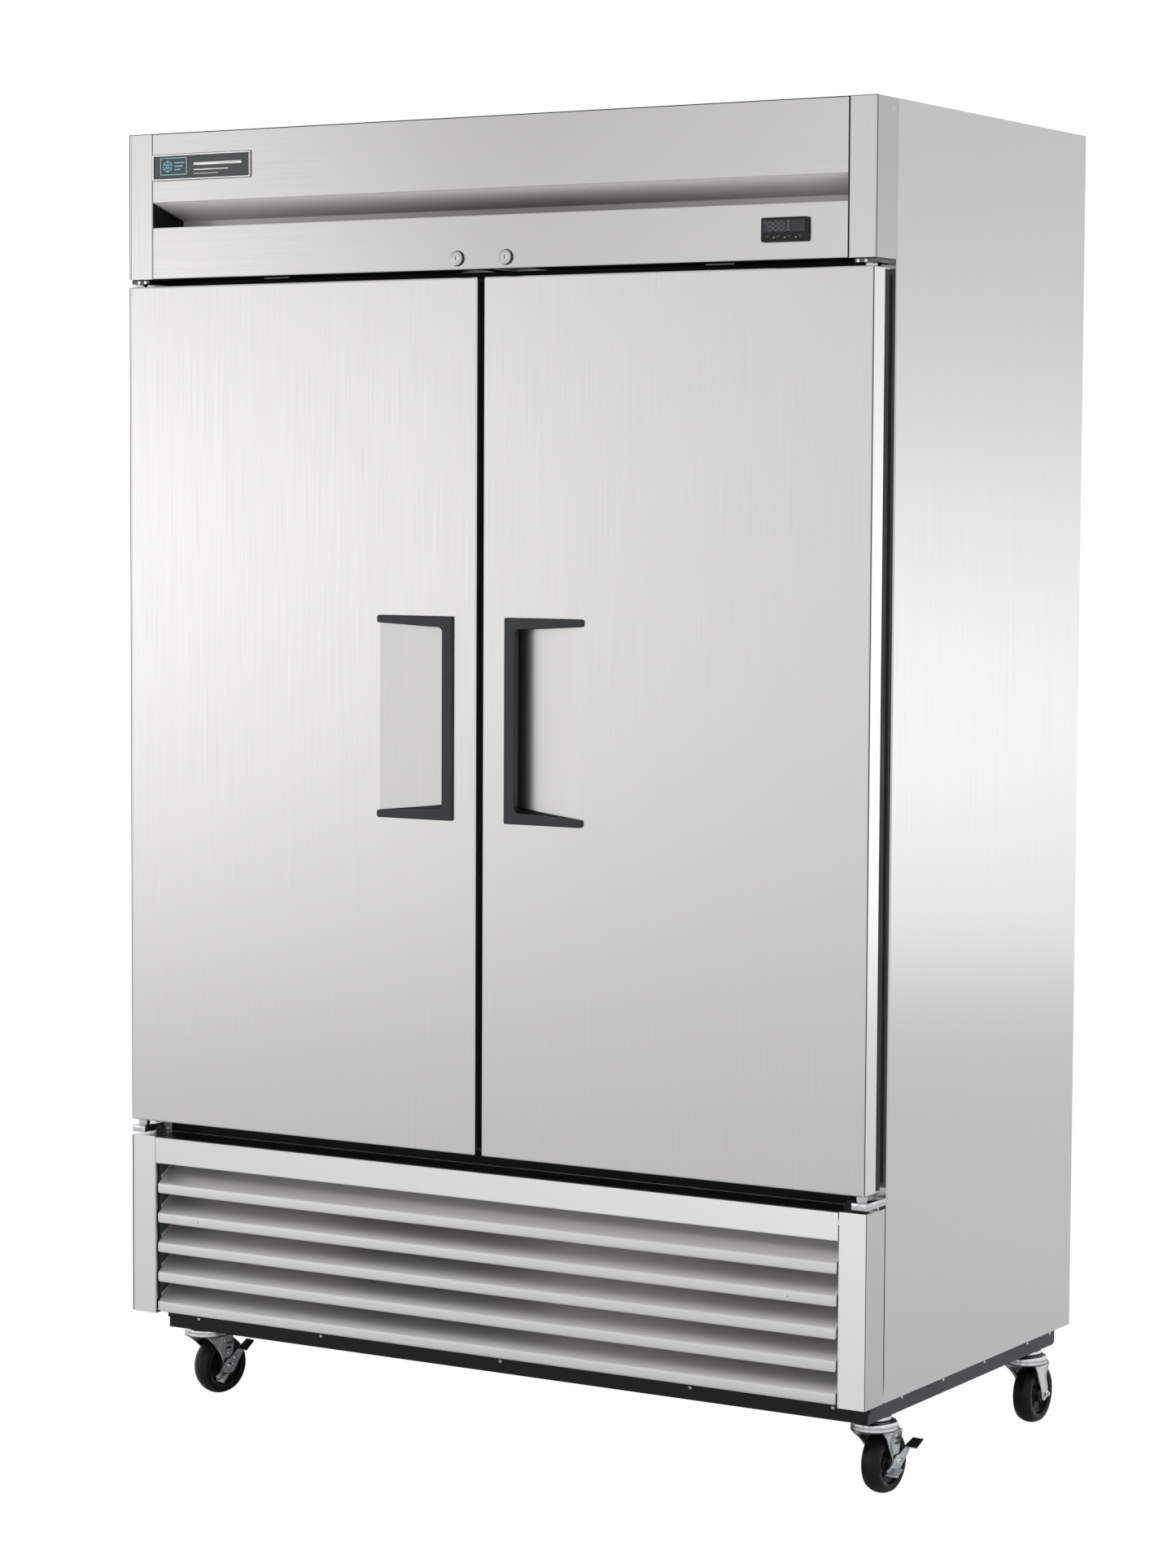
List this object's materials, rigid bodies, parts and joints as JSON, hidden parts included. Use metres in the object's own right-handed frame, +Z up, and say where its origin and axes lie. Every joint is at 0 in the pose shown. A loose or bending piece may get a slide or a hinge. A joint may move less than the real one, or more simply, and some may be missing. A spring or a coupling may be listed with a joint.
{
  "type": "reach in refrigerator",
  "caption": "Upright stainless two-door cabinet refrigerator with a louvered machine base, recessed pull handles and swivel castors.",
  "frame": {"origin": "on the floor, at the middle of the footprint", "axes": "+Z up, the doors face -Y, +X to the right of a person who stands in front"},
  "size_m": [1.375, 0.7735, 2.118],
  "materials": {
    "stainless_front": "satin",
    "stainless_side": "satin",
    "galvanised": "satin",
    "aluminium_liner": "satin",
    "insulation_foam": "matte",
    "black_frame": "satin",
    "compressor_black": "satin",
    "charcoal_plastic": "satin",
    "gloss_black_plastic": "gloss",
    "grey_door_liner": "satin",
    "gasket_rubber": "matte",
    "zinc_plate": "satin",
    "tread_rubber": "matte",
    "coil_fins": "satin",
    "fan_plastic": "satin",
    "shelf_coating": "satin"
  },
  "bodies": {
    "cabinet": {"left_side_panel": "stainless_side", "right_side_panel": "stainless_side", "top_panel": "stainless_side", "rear_panel": "galvanised", "cabinet_foam": "insulation_foam", "cabinet_liner": "aluminium_liner", "face_frame": "stainless_front", "header_panel": "stainless_front", "header_end_left": "stainless_front", "header_end_right": "stainless_front", "controller_bezel": "gloss_black_plastic", "base_frame": "black_frame", "base_post_left": "stainless_front", "base_post_right": "stainless_front", "grille_top_rail": "stainless_front", "louver_1": "stainless_front", "louver_2": "stainless_front", "louver_3": "stainless_front", "louver_4": "stainless_front", "louver_5": "stainless_front", "compressor": "compressor_black", "condenser_coil": "coil_fins", "evaporator_housing": "aluminium_liner", "bottom_hinge_left": "zinc_plate", "bottom_hinge_right": "zinc_plate", "top_hinge_left": "zinc_plate", "top_hinge_right": "zinc_plate", "shelf_left_bottom": "shelf_coating", "shelf_left_middle": "shelf_coating", "shelf_left_top": "shelf_coating", "shelf_right_bottom": "shelf_coating", "shelf_right_middle": "shelf_coating", "shelf_right_top": "shelf_coating"},
    "door_left": {"door_skin_left": "stainless_front", "door_liner_left": "grey_door_liner", "door_gasket_left": "gasket_rubber", "door_handle_left": "charcoal_plastic"},
    "door_right": {"door_skin_right": "stainless_front", "door_liner_right": "grey_door_liner", "door_gasket_right": "gasket_rubber", "door_handle_right": "charcoal_plastic"},
    "lock_left": {"lock_left": "zinc_plate"},
    "lock_right": {"lock_right": "zinc_plate"},
    "button_1": {"button_1": "charcoal_plastic"},
    "button_2": {"button_2": "charcoal_plastic"},
    "button_3": {"button_3": "charcoal_plastic"},
    "button_4": {"button_4": "charcoal_plastic"},
    "condenser_fan": {"condenser_fan": "fan_plastic"},
    "evaporator_fan_left": {"evaporator_fan_left": "fan_plastic"},
    "evaporator_fan_right": {"evaporator_fan_right": "fan_plastic"},
    "castor_fork_front_left": {"castor_fork_front_left": "zinc_plate"},
    "castor_wheel_front_left": {"castor_wheel_front_left": "tread_rubber"},
    "castor_fork_front_right": {"castor_fork_front_right": "zinc_plate"},
    "castor_wheel_front_right": {"castor_wheel_front_right": "tread_rubber"},
    "castor_fork_rear_left": {"castor_fork_rear_left": "zinc_plate"},
    "castor_wheel_rear_left": {"castor_wheel_rear_left": "tread_rubber"},
    "castor_fork_rear_right": {"castor_fork_rear_right": "zinc_plate"},
    "castor_wheel_rear_right": {"castor_wheel_rear_right": "tread_rubber"},
    "brake_pedal_front_left": {"brake_pedal_front_left": "zinc_plate"},
    "brake_pedal_front_right": {"brake_pedal_front_right": "zinc_plate"}
  },
  "joints": [
    {"name": "door_left_hinge", "type": "hinge", "parent": "cabinet", "child": "door_left", "pos_m": [-0.6726, -0.362, 0.489], "axis": [0, 0, -1], "range_deg": [0, 120], "stiffness_Nm_per_rad": 2, "springref_deg": -34.38},
    {"name": "door_right_hinge", "type": "hinge", "parent": "cabinet", "child": "door_right", "pos_m": [0.6726, -0.362, 0.489], "axis": [0, 0, 1], "range_deg": [0, 120], "stiffness_Nm_per_rad": 2, "springref_deg": -34.38},
    {"name": "lock_left_turn", "type": "hinge", "parent": "cabinet", "child": "lock_left", "pos_m": [-0.045, -0.375, 1.8996], "axis": [0, -1, 0], "range_deg": [0, 90]},
    {"name": "lock_right_turn", "type": "hinge", "parent": "cabinet", "child": "lock_right", "pos_m": [0.045, -0.375, 1.8996], "axis": [0, 1, 0], "range_deg": [0, 90]},
    {"name": "button_1_press", "type": "slide", "parent": "cabinet", "child": "button_1", "axis": [0, 1, 0], "range_m": [0, 0.0008], "stiffness_N_per_m": 400, "springref_m": -0.0005},
    {"name": "button_2_press", "type": "slide", "parent": "cabinet", "child": "button_2", "axis": [0, 1, 0], "range_m": [0, 0.0008], "stiffness_N_per_m": 400, "springref_m": -0.0005},
    {"name": "button_3_press", "type": "slide", "parent": "cabinet", "child": "button_3", "axis": [0, 1, 0], "range_m": [0, 0.0008], "stiffness_N_per_m": 400, "springref_m": -0.0005},
    {"name": "button_4_press", "type": "slide", "parent": "cabinet", "child": "button_4", "axis": [0, 1, 0], "range_m": [0, 0.0008], "stiffness_N_per_m": 400, "springref_m": -0.0005},
    {"name": "condenser_fan_spin", "type": "hinge", "parent": "cabinet", "child": "condenser_fan", "pos_m": [-0.2, -0.187, 0.296], "axis": [0, 1, 0], "continuous": true},
    {"name": "evaporator_fan_left_spin", "type": "hinge", "parent": "cabinet", "child": "evaporator_fan_left", "pos_m": [-0.2, -0.075, 1.97], "axis": [0, 1, 0], "continuous": true},
    {"name": "evaporator_fan_right_spin", "type": "hinge", "parent": "cabinet", "child": "evaporator_fan_right", "pos_m": [0.2, -0.075, 1.97], "axis": [0, 1, 0], "continuous": true},
    {"name": "castor_front_left_swivel", "type": "hinge", "parent": "cabinet", "child": "castor_fork_front_left", "pos_m": [-0.636, -0.24, 0.12], "axis": [0, 0, 1], "continuous": true},
    {"name": "castor_front_left_roll", "type": "hinge", "parent": "castor_fork_front_left", "child": "castor_wheel_front_left", "pos_m": [-0.62955, -0.20968, 0.05], "axis": [0.9781, -0.2079, 0], "continuous": true},
    {"name": "brake_front_left_press", "type": "hinge", "parent": "castor_fork_front_left", "child": "brake_pedal_front_left", "pos_m": [-0.62955, -0.20968, 0.05], "axis": [0.9781, -0.2079, 0], "range_deg": [-18, 0]},
    {"name": "castor_front_right_swivel", "type": "hinge", "parent": "cabinet", "child": "castor_fork_front_right", "pos_m": [0.636, -0.24, 0.12], "axis": [0, 0, 1], "continuous": true},
    {"name": "castor_front_right_roll", "type": "hinge", "parent": "castor_fork_front_right", "child": "castor_wheel_front_right", "pos_m": [0.63708, -0.20902, 0.05], "axis": [0.9994, -0.0349, 0], "continuous": true},
    {"name": "brake_front_right_press", "type": "hinge", "parent": "castor_fork_front_right", "child": "brake_pedal_front_right", "pos_m": [0.63708, -0.20902, 0.05], "axis": [0.9994, -0.0349, 0], "range_deg": [-18, 0]},
    {"name": "castor_rear_left_swivel", "type": "hinge", "parent": "cabinet", "child": "castor_fork_rear_left", "pos_m": [-0.636, 0.309, 0.12], "axis": [0, 0, 1], "continuous": true},
    {"name": "castor_rear_left_roll", "type": "hinge", "parent": "castor_fork_rear_left", "child": "castor_wheel_rear_left", "pos_m": [-0.63978, 0.33977, 0.05], "axis": [0.9925, 0.1219, 0], "continuous": true},
    {"name": "castor_rear_right_swivel", "type": "hinge", "parent": "cabinet", "child": "castor_fork_rear_right", "pos_m": [0.636, 0.309, 0.12], "axis": [0, 0, 1], "continuous": true},
    {"name": "castor_rear_right_roll", "type": "hinge", "parent": "castor_fork_rear_right", "child": "castor_wheel_rear_right", "pos_m": [0.636, 0.34, 0.05], "axis": [1, 0, 0], "continuous": true}
  ]
}
